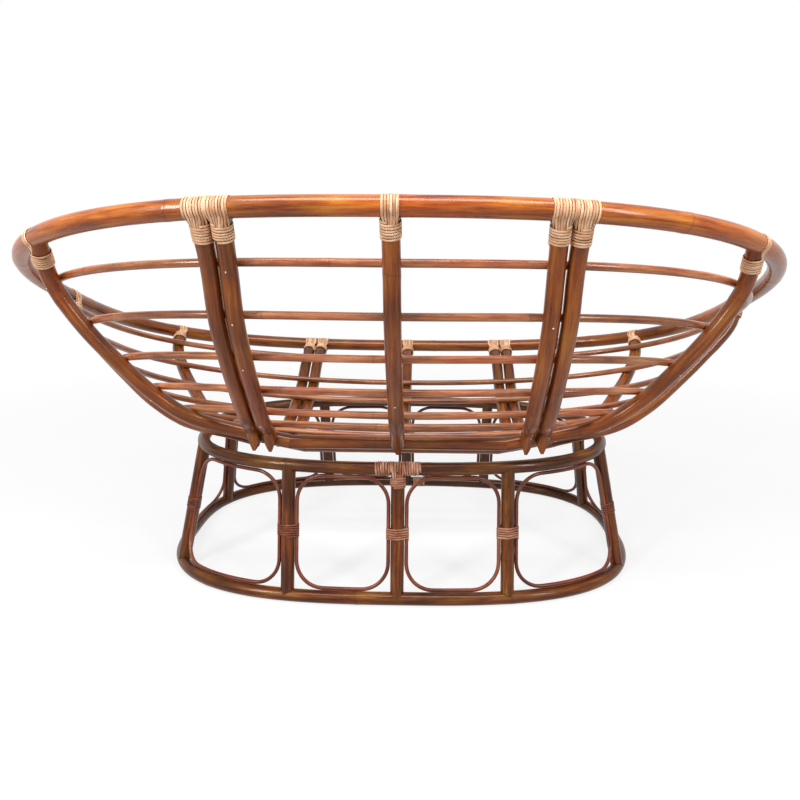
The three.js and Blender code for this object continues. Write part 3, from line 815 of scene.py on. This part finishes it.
addPole("rim", rimCourse, "rim", "bowl", closed=True)
for level, oval in enumerate(hoopOvals, 1):
    joint = bowl["rimJoint"] + bowl["hoopJointStep"] * level
    addPole(f"hoop_{level}", oval.course(joint), "hoop", "bowl", closed=True)
for face, side in faces:
    reach = bowl["railHalfLength"]
    ends = [Vector((x, side * bowl["railHalfSpacing"], -bowl["railDrop"])) for x in (-reach, 0, reach)]
    addPole(f"rail_{face}", Course(ends), "rail", "bowl")

ribTip = {
    "reach": 0.12,
    "overrun": 0.006,
    "frontCutBack": 0.02,
    "start": 0.004,
    "slopes": (  # sideways, inwards, cut back and angle
        (0, 1, 0.006, 42),
        (1, 0, -0.007, 68),
        (-1, 0, -0.007, 68),
        (0, 0, 0.001, 0),
    ),
}
cutTolerance = 1e-6


def cutTip(bm, end, along, inward, tip):
    # cuts the end of a pole with a few slopes, as a knife does
    across = along.cross(inward)
    for sideways, inwards, cutBack, angle in tip["slopes"]:
        near = {vert for vert in bm.verts if (vert.co - end).length < tip["reach"]}
        parts = [part for part in (*bm.edges, *bm.faces) if near.issuperset(part.verts)]
        towards = across * sideways + inward * inwards
        slope = math.radians(angle)
        cut = bmesh.ops.bisect_plane(
            bm, geom=[*near, *parts], dist=cutTolerance, plane_co=end - along * cutBack,
            plane_no=along * math.cos(slope) + towards * math.sin(slope), clear_outer=True)
        edges = [part for part in cut["geom_cut"] if isinstance(part, bmesh.types.BMEdge)]
        for filled in bmesh.ops.contextual_create(bm, geom=edges)["faces"]:
            filled.material_index = 1


for place, (course, crossings) in ribs.items():
    if place.endswith("corner"):
        addPole(f"rib_{place}", course, "rib", "bowl", start=ribTip["start"])
        continue
    end = course.at(course.length)
    longer = Course([*course.points, end + course.along(course.length) * ribTip["overrun"]])
    along = (end - course.at(course.length - ribTip["reach"] / 2)).normalized()
    inward = Vector((-along.x * along.z, -along.y * along.z, 1 - along.z**2)).normalized()
    if place.startswith("front"):
        end = end - along * ribTip["frontCutBack"]
    shape = partial(cutTip, end=end, along=along, inward=inward, tip=ribTip)
    addPole(f"rib_{place}", longer, "rib", "bowl", start=ribTip["start"], shape=shape)
print("bowl poles swept")

stand = {
    "forward": 0.044,  # from the middle of the rim
    "ringPower": 2.65,
    "topHalfLength": 0.504,
    "topHalfWidth": 0.282,
    "topHeight": 0.301,
    "topJoint": 0.25,
    "bottomPower": 2.9,
    "bottomHalfLength": 0.570,
    "bottomHalfWidth": 0.346,
    "bottomHeight": 0.01498,
    "bottomJoint": 0.75,
    "sidePost": (0.248, 0.246),  # distance from the middle at the bottom ring and at the top ring
    "endPostShares": (0.939, 0.956),
}
topRing = Oval(stand["topHalfLength"], stand["topHalfWidth"], stand["ringPower"], stand["topHeight"])
bottomRing = Oval(
    stand["bottomHalfLength"], stand["bottomHalfWidth"], stand["bottomPower"], stand["bottomHeight"])
topCourse, bottomCourse = topRing.course(stand["topJoint"]), bottomRing.course(stand["bottomJoint"])
bodyPlaces["stand"] = Matrix.Translation((0, -stand["forward"], 0))

addPole("ring_top", topCourse, "ring", "stand", closed=True)
addPole("ring_bottom", bottomCourse, "ring", "stand", closed=True)

postTip = {"reach": 0.1, "overrun": 0.003, "slopes": ((1, 0, -0.002, 42), (-1, 0, -0.002, 42))}


def cutPostEnds(bm, top, bottom, down, outward):
    # both ends are points that lie on the rings
    cutTip(bm, top, -down, outward, postTip)
    cutTip(bm, bottom, down, outward, postTip)


posts = {}
shares = stand["endPostShares"]
endPost = (shares[0] * stand["bottomHalfLength"], shares[1] * stand["topHalfLength"])
middlePost = (0, 0)
for name, sign, side, (atBottom, atTop) in (
    ("end_left_back", 1, 1, endPost),
    ("back_left", 1, 1, stand["sidePost"]),
    ("back_centre", 0, 1, middlePost),
    ("back_right", -1, 1, stand["sidePost"]),
    ("end_right_back", -1, 1, endPost),
    ("end_right_front", -1, -1, endPost),
    ("front_right", -1, -1, stand["sidePost"]),
    ("front_centre", 0, -1, middlePost),
    ("front_left", 1, -1, stand["sidePost"]),
    ("end_left_front", 1, -1, endPost),
):
    top, bottom = topRing.atX(sign * atTop, side), bottomRing.atX(sign * atBottom, side)
    posts[name] = Course([top, top.lerp(bottom, 0.5), bottom])
    down = (bottom - top).normalized()
    outward = fromStandMiddle(top)
    outward = (outward - down * outward.dot(down)).normalized()
    longer = Course([top - down * postTip["overrun"], bottom + down * postTip["overrun"]])
    shape = partial(cutPostEnds, top=top, bottom=bottom, down=down, outward=outward)
    addPole(f"post_{name}", longer, "post", "stand", shape=shape)

loopShape = {
    "cornerRadius": 0.060,
    "cornerSteps": 12,
    "besidePost": 0.0203,  # from a post's middle line to the cane's
    "besideRing": 0.0198,
    "longStep": 0.1,  # share of the bay past which a stretch is split
    "longParts": 8,
}


def caneLoop(first, last):
    # a loop that fills the bay between two posts: it follows the rings and has round corners
    spans = []
    for course, index in ((bottomCourse, -1), (topCourse, 0)):
        start = course.nearest(posts[first].points[index])
        width = (course.nearest(posts[last].points[index]) - start) % course.length
        spans.append((course, start, width))

    def at(across, rise):
        low, high = (course.at(start + across * width) for course, start, width in spans)
        return low.lerp(high, rise)

    height = (at(0.5, 1) - at(0.5, 0)).length
    radius, cornerSteps = loopShape["cornerRadius"], loopShape["cornerSteps"]
    fromRing, fromPost = loopShape["besideRing"] + radius, loopShape["besidePost"] + radius
    places = []
    for quarter, (toRight, toTop) in enumerate(((1, 1), (-1, 1), (-1, -1), (1, -1))):
        for step in range(cornerSteps + 1):
            angle = (quarter + step / cornerSteps) * math.pi / 2
            rise = 0.5 + (toTop * (height / 2 - fromRing) + radius * math.sin(angle)) / height
            width = spans[0][2] + (spans[1][2] - spans[0][2]) * rise
            across = 0.5 + (toRight * (width / 2 - fromPost) + radius * math.cos(angle)) / width
            places.append((across, rise))
    start = ((places[0][0] + places[-1][0]) / 2, 0.5)
    places = [start, *places, start]
    points = []
    for (across, rise), (nextAcross, nextRise) in zip(places, places[1:]):
        longest = max(abs(nextAcross - across), abs(nextRise - rise))
        parts = loopShape["longParts"] if longest > loopShape["longStep"] else 1
        for part in range(parts):
            share = part / parts
            points.append(at(across + (nextAcross - across) * share, rise + (nextRise - rise) * share))
    return Course(points, closed=True)


postNames = list(posts)
bayNames = ["left_back", "back_left", "back_right", "right_back", "end_right", "right_front", "front_right",
            "front_left", "left_front", "end_left"]
loops = {}
for index, bay in enumerate(bayNames):
    loops[bay] = caneLoop(postNames[index], postNames[(index + 1) % len(postNames)])
    addPole(f"cane_loop_{bay}", loops[bay], "cane", "stand", closed=True)
print("stand poles swept")

peel = {
    "width": 0.0045,
    "widths": (0.86, 1.04),  # shares of it that a strip may have
    "pitch": 0.0049,
    "thickness": 0.0018,
    "flattened": 0.4,
    "sides": 8,
    "turnSteps": 24,
    "stain": (0, 0.5),  # how dark a strand may be
    "grainShift": (0, 40),
    "overlap": 0.0016,  # how far a strip lies out from what is under another
    "sway": 0.0003,
    "swayRate": 2.3,
    "swayPhases": (0, 6),
    "poleReach": 0.02,  # where the direction of the pole under a saddle is read
    "squeeze": 0.84,
    "widest": 0.97,  # share of the pole's radius that a strand's leg may be aside
    "archSteps": 7,
    "archAngle": math.radians(16.5),
}
peelLift = peel["thickness"] / 2 * peel["flattened"]


def addStrip(bm, route, chance, width=None):
    # one strip of peel along points and their outward directions
    wide = (width or peel["width"]) * chance.uniform(*peel["widths"]) / 2
    stain = chance.uniform(*peel["stain"])
    thick = peel["thickness"] / 2
    walked = chance.uniform(*peel["grainShift"])
    stations = []
    for index, (point, outward) in enumerate(route):
        ahead, behind = route[min(index + 1, len(route) - 1)][0], route[max(index - 1, 0)][0]
        if index:
            walked += (point - route[index - 1][0]).length
        matrix = stationMatrix(point, (ahead - behind).normalized(), outward, wide, thick)
        stations.append((matrix, walked, stain))
    sweep(bm, stations, peel["sides"], (wide, thick), flattened=peel["flattened"])


def coil(bm, course, radius, start, turns, chance, outward, pitch=None, width=None, leastOverlap=None,
         startAngle=0.0, sense=1):
    # turns of a strip round a pole; leastOverlap is the share of the overlap that is left at its sides
    pitch = pitch or peel["pitch"]
    steps, rate = peel["turnSteps"], peel["swayRate"]
    sways = [(chance.uniform(-1, 1) * peel["sway"], chance.uniform(*peel["swayPhases"])) for _ in range(2)]
    route = []
    for step in range(round(turns * steps) + 1):
        share = step / steps
        angle = startAngle + sense * 2 * math.pi * share
        wander = sum(
            size * math.sin(wave * rate * share + phase) for wave, (size, phase) in enumerate(sways, 1))
        length = start + pitch * share + wander
        along = course.along(length)
        out = (outward - along * outward.dot(along)).normalized()
        direction = out * math.cos(angle) + along.cross(out) * math.sin(angle)
        reach = radius + peelLift
        if leastOverlap is not None:
            reach += peel["overlap"] * (leastOverlap + (1 - leastOverlap) * abs(math.cos(angle)))
        route.append((course.at(length) + direction * reach, direction))
    addStrip(bm, route, chance, width)


def strandLeg(pole, radius, out, side, aside, lengths):
    # a strand down one side of a pole: its places and where it faces there
    leg = []
    for length in lengths:
        along = pole.along(length)
        poleOut = (out - along * out.dot(along)).normalized()
        reach = math.sqrt((radius + peelLift) ** 2 - aside**2)
        direction = (along.cross(poleOut) * aside + poleOut * side * reach).normalized()
        leg.append((pole.at(length) + direction * (radius + peelLift), direction))
    return leg


def saddle(bm, over, overLength, overRadius, pole, poleRadius, count, chance, lengths, offset=0.0,
           pitch=None):
    # strands over a pole and down both sides of the one under it, at two lengths along that one
    pitch = pitch or peel["pitch"]
    down = pole.along(peel["poleReach"])
    widest = poleRadius * peel["widest"]
    for index in range(count):
        beside = offset + (index - (count - 1) / 2) * pitch + chance.uniform(-peel["sway"], peel["sway"])
        middle, along = over.at(overLength + beside), over.along(overLength + beside)
        below = (down - along * down.dot(along)).normalized()
        out = along.cross(below)
        rise = overRadius + peelLift + chance.uniform(0, peel["sway"])
        aside = min(max(beside * peel["squeeze"], -widest), widest)
        firstLeg, secondLeg = (strandLeg(pole, poleRadius, out, side, aside, lengths) for side in (-1, 1))
        arch = []
        for step in range(-peel["archSteps"], peel["archSteps"] + 1):
            angle = peel["archAngle"] * step
            direction = -below * math.cos(angle) + out * math.sin(angle)
            arch.append((middle + direction * rise, direction))
        chain = [*reversed(firstLeg), *arch, *secondLeg]
        points = splinePoints([point for point, _ in chain], 2)
        outwards = []
        for (_, first), (_, second) in zip(chain, chain[1:]):
            outwards += [first, first.lerp(second, 0.5).normalized()]
        outwards.append(chain[-1][1])
        addStrip(bm, list(zip(points, outwards)), chance)


collar = {
    "clear": 0.0022,  # from the strips round the pole above
    "cornerShare": 0.7,  # a corner's collar starts so much nearer to the rim
    "strandClear": 0.001,
    "strandHidden": 0.012,  # how far the strands run on under the collar
    "leastOverlap": 0.7,
    "turnChange": 0.2,
    "startTurns": (0.9, 1.1),
}


def collarStart(over, overLength, pole, radius):
    # the length along a pole at which its collar clears the pole above
    lean = over.along(overLength).angle(pole.along(peel["poleReach"]))
    reach = radii["rib"] + peel["thickness"]
    clearance = radius + peel["thickness"] + collar["clear"]
    return (clearance + reach * abs(math.cos(lean))) / math.sin(lean)


rimBindings = {  # strands over the rim, its offset in metres, and turns round each rib
    "back_left_pair": (8, 0, 6.2),
    "back_right_pair": (8, 0, 6.6),
    "front_left_pair": (7, 0, 4.4),
    "front_right_pair": (7, 0, 4.6),
    "back_left_corner": (3, 0.009, 6.4),
    "back_right_corner": (3, 0.009, 6.2),
    "front_left_corner": (5, 0, 4.3),
    "front_right_corner": (5, 0, 4.3),
    "back_centre": (6, 0, 6.4),
    "front_centre": (7, 0, 4.8),
    "end_left": (6, 0, 2.8),
    "end_right": (6, 0, 2.8),
}


def bindRib(bm, course, count, offset, turns, chance, startShare):
    # strands over the rim, and a collar of turns round the rib under it
    length = rimCourse.nearest(course.at(0))
    start = collarStart(rimCourse, length, course, radii["rim"]) * startShare
    towardsEnd = 1 if course.at(0).x * rimCourse.along(length).x > 0 else -1
    legStart = start + collar["strandClear"]
    saddle(bm, rimCourse, length, radii["rim"], course, radii["rib"], count, chance,
           (legStart, legStart + collar["strandHidden"]), offset=offset * towardsEnd)
    outward = rimCourse.along(length).cross(course.along(peel["poleReach"])).normalized()
    turns += chance.uniform(-collar["turnChange"], collar["turnChange"])
    startAngle = math.pi * chance.choice(collar["startTurns"])
    coil(bm, course, radii["rib"], start, turns, chance, outward, leastOverlap=collar["leastOverlap"],
         startAngle=startAngle, sense=chance.choice((1, -1)))


for place, (count, offset, turns) in rimBindings.items():
    bm = newPiece()
    chance = random.Random(place)
    pair = [place.replace("pair", "inner"), place.replace("pair", "outer")]
    startShare = collar["cornerShare"] if place.endswith("corner") else 1
    for member in pair if place.endswith("pair") else [place]:
        bindRib(bm, ribs[member][0], count, offset, turns, chance, startShare)
    finishPiece(f"binding_{place}.peel", bm, "bowl", ["peel"], [f"binding_{place}"])
print("rim bindings wound:", len(rimBindings))

# where the middle back post meets the top ring
ringBinding = {
    "strands": 5,
    "strandHidden": 0.01,
    "sideTurns": 6.3,
    "postTurns": 4.6,
    "pitch": 0.0056,
    "width": 0.0051,
    "leastOverlap": 0.6,
}


def bindTopRing(look):
    bm = newPiece()
    chance = random.Random("ringBinding")
    post = posts["back_centre"]
    middle = topCourse.nearest(post.points[0])
    start = collarStart(topCourse, middle, post, radii["ring"])
    legStart = start + collar["strandClear"]
    saddle(bm, topCourse, middle, radii["ring"], post, radii["post"], look["strands"], chance,
           (legStart, legStart + look["strandHidden"]), pitch=look["pitch"])
    outward = Vector((0, 1, 0))
    coil(bm, post, radii["post"], start, look["postTurns"], chance, outward,
         leastOverlap=look["leastOverlap"], startAngle=math.pi)
    half = look["pitch"] * look["strands"] / 2
    for beginning in (middle - half - look["pitch"] * look["sideTurns"], middle + half):
        coil(bm, topCourse, radii["ring"], beginning, look["sideTurns"], chance, outward,
             pitch=look["pitch"], width=look["width"], startAngle=-math.pi / 2)
    finishPiece("binding_stand_back.peel", bm, "stand", ["ringPeel"], ["binding_stand_back"])


bindTopRing(ringBinding)

# round the joint of the bottom ring, beside the middle front post
spliceBinding = {"place": -0.041, "turns": 6.4, "pitch": 0.0062, "width": 0.0057, "pressed": 0.01}


def bindSplice(look):
    bm = newPiece()
    chance = random.Random("spliceBinding")
    middle = bottomCourse.nearest(bottomRing.atX(look["place"], -1))
    start = middle - look["pitch"] * look["turns"] / 2
    coil(bm, bottomCourse, radii["ring"], start, look["turns"], chance, Vector((0, -1, 0)),
         pitch=look["pitch"], width=look["width"], startAngle=-math.pi / 2)
    for vert in bm.verts:  # pressed flat by the floor
        vert.co.z *= 1 if vert.co.z > 0 else look["pressed"]
    finishPiece("binding_splice.peel", bm, "stand", ["ringPeel"])


bindSplice(spliceBinding)

# half way up each post, round the post and the loops beside it
postBinding = {
    "turns": 5.4,
    "pitch": 0.0052,
    "place": 0.5,
    "postReach": 0.1,  # where the direction of the post is read
    "paler": ("back_centre", "back_right"),
}


def reachTowards(direction, circle):
    centre, radius = circle
    return centre.dot(direction) + radius


def bindPost(name, course, neighbours, look):
    bm = newPiece()
    chance = random.Random("post" + name)
    start = course.length * look["place"] - look["pitch"] * look["turns"] / 2
    down = course.along(look["postReach"])
    out = fromStandMiddle(course.at(look["postReach"]))
    out = (out - down * out.dot(down)).normalized()
    beside = down.cross(out)
    middle = course.at(course.length / 2)
    canes = [loop.at(loop.nearest(middle)) for loop in neighbours]
    steps = 2 * peel["turnSteps"]
    route = []
    for step in range(round(look["turns"] * steps) + 1):
        share = step / steps
        angle = 2 * math.pi * share + math.pi
        place = course.at(start + look["pitch"] * share)
        direction = out * math.cos(angle) + beside * math.sin(angle)
        circles = [(place, radii["post"])]
        circles += [(cane + down * (place - cane).dot(down), radii["cane"]) for cane in canes]
        centre, radius = max(circles, key=partial(reachTowards, direction))
        route.append((centre + direction * (radius + peelLift), direction))
    addStrip(bm, route, chance)
    finish = "ringPeel" if name in look["paler"] else "standPeel"
    finishPiece(f"binding_post_{name}.peel", bm, "stand", [finish])


for index, (name, course) in enumerate(posts.items()):
    bindPost(name, course, (loops[bayNames[index - 1]], loops[bayNames[index]]), postBinding)
print("stand bindings wound:", len(posts) + 2)

# nails where the ribs cross the hoops
nail = {
    "radius": 0.002,
    "topShare": 0.62,
    "height": 0.0013,
    "sides": 12,
    "share": 0.42,  # of the crossings have one in sight
    "seat": 0.985,  # share of the rib's radius
    "astray": 0.002,
    "hoopSteps": 360,
}


def driveNails(look):
    bm = newPiece()
    chance = random.Random("nails")
    for course, crossings in ribs.values():
        for oval, crossing in zip(hoopOvals, crossings):
            if chance.random() > look["share"]:
                continue
            along = course.along(course.nearest(crossing))
            hoop = oval.course(0, look["hoopSteps"])
            outward = (crossing - hoop.at(hoop.nearest(crossing))).normalized()
            aside = along * chance.uniform(-look["astray"], look["astray"])
            seat = crossing + outward * (radii["rib"] * look["seat"]) + aside
            matrix = Matrix.Translation(seat) @ outward.to_track_quat("Z", "Y").to_matrix().to_4x4()
            bmesh.ops.create_cone(
                bm, cap_ends=True, segments=look["sides"], radius1=look["radius"],
                radius2=look["radius"] * look["topShare"], depth=look["height"], matrix=matrix)
    finishPiece("nail_heads", bm, "bowl", ["nail"])


driveNails(nail)
print("nails driven")
